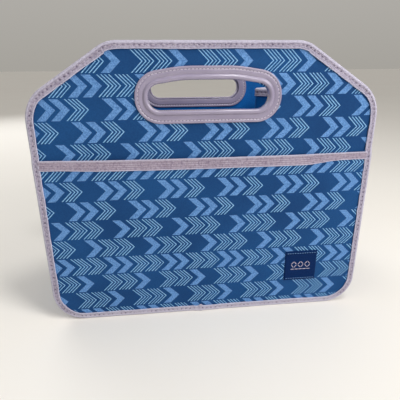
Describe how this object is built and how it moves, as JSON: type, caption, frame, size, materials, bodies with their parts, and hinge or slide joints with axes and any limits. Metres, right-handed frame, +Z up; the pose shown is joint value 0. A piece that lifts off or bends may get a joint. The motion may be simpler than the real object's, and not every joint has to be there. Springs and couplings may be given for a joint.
{
  "type": "shoe organizer",
  "caption": "Collapsible fabric shoe organizer with two stiff walls, moulded hand holes, inward-folding side gussets, a centre-folding base and a front slip pocket.",
  "frame": {"origin": "under the middle of the organizer, on the surface that it stands on", "axes": "+X to the right, the front wall with the pocket faces -Y, +Z up"},
  "size_m": [0.366, 0.1776, 0.308],
  "materials": {
    "printed_fabric": "matte woven, printed arrows",
    "lining_fabric": "matte woven",
    "binding_tape": "matte ribbed tape",
    "moulded_plastic": "satin moulded",
    "stiffener_board": "plain board",
    "woven_label": "fine woven"
  },
  "bodies": {
    "back_wall": {"back_outer_fabric": "printed_fabric", "back_board": "stiffener_board", "back_lining": "lining_fabric", "back_edge_binding": "binding_tape", "back_handle_outer": "moulded_plastic", "back_handle_inner": "moulded_plastic"},
    "right_gusset_back": {"right_gusset_back_outer_fabric": "printed_fabric", "right_gusset_back_board": "stiffener_board", "right_gusset_back_lining": "lining_fabric", "right_gusset_back_top_tape": "binding_tape"},
    "right_gusset_front": {"right_gusset_front_outer_fabric": "printed_fabric", "right_gusset_front_board": "stiffener_board", "right_gusset_front_lining": "lining_fabric", "right_gusset_front_top_tape": "binding_tape"},
    "front_wall": {"front_outer_fabric": "printed_fabric", "front_board": "stiffener_board", "front_lining": "lining_fabric", "front_edge_binding": "binding_tape", "front_handle_outer": "moulded_plastic", "front_handle_inner": "moulded_plastic", "front_pocket_panel": "printed_fabric", "front_pocket_tape": "binding_tape", "front_label": "woven_label"},
    "left_gusset_back": {"left_gusset_back_outer_fabric": "printed_fabric", "left_gusset_back_board": "stiffener_board", "left_gusset_back_lining": "lining_fabric", "left_gusset_back_top_tape": "binding_tape"},
    "left_gusset_front": {"left_gusset_front_outer_fabric": "printed_fabric", "left_gusset_front_board": "stiffener_board", "left_gusset_front_lining": "lining_fabric", "left_gusset_front_top_tape": "binding_tape"},
    "base_back": {"base_back_lining": "lining_fabric", "base_back_board": "stiffener_board", "base_back_under_fabric": "lining_fabric"},
    "base_front": {"base_front_lining": "lining_fabric", "base_front_board": "stiffener_board", "base_front_under_fabric": "lining_fabric"}
  },
  "joints": [
    {"name": "right_gusset_back_hinge", "type": "hinge", "parent": "back_wall", "child": "right_gusset_back", "pos_m": [0.174, 0.07731, 0.127], "axis": [0, 0, 1], "range_deg": [-34, 52]},
    {"name": "right_gusset_crease", "type": "hinge", "parent": "right_gusset_back", "child": "right_gusset_front", "pos_m": [0.07324, 0, 0.127], "axis": [0, 0, 1], "range_deg": [-104, 68]},
    {"name": "front_wall_hinge", "type": "hinge", "parent": "right_gusset_front", "child": "front_wall", "pos_m": [0.174, -0.07731, 0.127], "axis": [0, 0, 1], "range_deg": [-34, 52]},
    {"name": "left_gusset_back_hinge", "type": "hinge", "parent": "back_wall", "child": "left_gusset_back", "pos_m": [-0.174, 0.07731, 0.127], "axis": [0, 0, 1], "range_deg": [-52, 34]},
    {"name": "left_gusset_crease", "type": "hinge", "parent": "left_gusset_back", "child": "left_gusset_front", "pos_m": [-0.07324, 0, 0.127], "axis": [0, 0, 1], "range_deg": [-68, 104]},
    {"name": "base_back_hinge", "type": "hinge", "parent": "back_wall", "child": "base_back", "pos_m": [0, 0.07731, 0.0045], "axis": [1, 0, 0], "range_deg": [-34, 52]},
    {"name": "base_crease", "type": "hinge", "parent": "base_back", "child": "base_front", "pos_m": [0, 0, 0.10526], "axis": [1, 0, 0], "range_deg": [-104, 68]}
  ],
  "couplings": [
    {"joint": "right_gusset_crease", "follows": "right_gusset_back_hinge", "ratio": -2},
    {"joint": "front_wall_hinge", "follows": "right_gusset_back_hinge", "ratio": 1},
    {"joint": "left_gusset_back_hinge", "follows": "right_gusset_back_hinge", "ratio": -1},
    {"joint": "left_gusset_crease", "follows": "right_gusset_back_hinge", "ratio": 2},
    {"joint": "base_back_hinge", "follows": "right_gusset_back_hinge", "ratio": 1},
    {"joint": "base_crease", "follows": "right_gusset_back_hinge", "ratio": -2}
  ]
}
